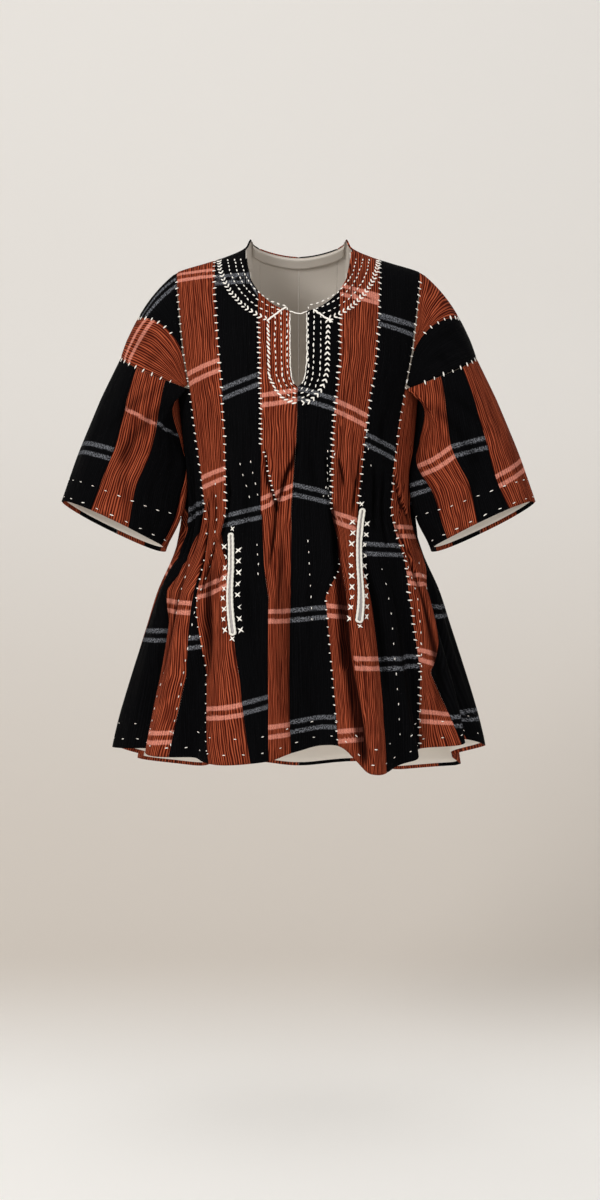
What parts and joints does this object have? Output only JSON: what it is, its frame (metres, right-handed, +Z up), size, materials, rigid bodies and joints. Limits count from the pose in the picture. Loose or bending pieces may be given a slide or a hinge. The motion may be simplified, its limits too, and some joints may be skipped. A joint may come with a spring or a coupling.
{
  "type": "smock top",
  "caption": "Child's smock top of rust and black handwoven strips, with flared gores, wide half sleeves, a keyhole neck and corded pocket slits.",
  "frame": {"origin": "between the two points where the garment rests on the wearer's shoulders beside the neck", "axes": "+Z up along the wearer's body, -Y out of the front, +X to the viewer's right when facing the front"},
  "size_m": [0.518, 0.3031, 0.6059],
  "materials": {
    "rust_strip": "handwoven cotton strip with fine lengthwise pinstripes and salmon weft bars",
    "black_strip": "handwoven black cotton strip with mottled grey weft bars",
    "cream_lining": "plain cream cotton lining and facings",
    "white_cord": "twisted white cotton cord"
  },
  "bodies": {
    "root": {"gore_front_left_rust": "rust_strip", "front_strip_2": "rust_strip", "front_strip_4": "rust_strip", "gore_front_middle": "rust_strip", "front_strip_6": "rust_strip", "front_strip_8": "rust_strip", "gore_side_right": "rust_strip", "back_strip_8": "rust_strip", "gore_back_right": "rust_strip", "back_strip_6": "rust_strip", "back_strip_4": "rust_strip", "gore_back_left": "rust_strip", "back_strip_2": "rust_strip", "sleeve_left_cap_lower": "rust_strip", "sleeve_left_strip_1": "rust_strip", "sleeve_left_strip_3": "rust_strip", "sleeve_left_strip_5": "rust_strip", "sleeve_left_strip_7": "rust_strip", "sleeve_right_cap_upper": "rust_strip", "sleeve_right_strip_2": "rust_strip", "sleeve_right_strip_4": "rust_strip", "sleeve_right_strip_6": "rust_strip", "sleeve_right_strip_8": "rust_strip", "front_strip_1": "black_strip", "gore_front_left_black": "black_strip", "front_strip_3": "black_strip", "front_strip_5": "black_strip", "front_strip_7": "black_strip", "side_strip_right": "black_strip", "side_strip_right_back": "black_strip", "back_strip_7": "black_strip", "back_strip_5": "black_strip", "back_strip_3": "black_strip", "back_strip_1": "rust_strip", "sleeve_left_cap_upper": "black_strip", "sleeve_left_strip_2": "black_strip", "sleeve_left_strip_4": "black_strip", "sleeve_left_strip_6": "black_strip", "sleeve_left_strip_8": "black_strip", "sleeve_right_cap_lower": "black_strip", "sleeve_right_strip_1": "black_strip", "sleeve_right_strip_3": "black_strip", "sleeve_right_strip_5": "black_strip", "sleeve_right_strip_7": "black_strip", "cuff_facing_left": "cream_lining", "cuff_facing_right": "cream_lining", "hem_facing_front": "cream_lining", "hem_facing_back": "cream_lining", "neck_facing_left": "cream_lining", "neck_facing_right": "cream_lining", "neck_facing_back": "cream_lining", "pocket_cord_left": "white_cord", "pocket_cord_right": "white_cord"}
  },
  "joints": []
}
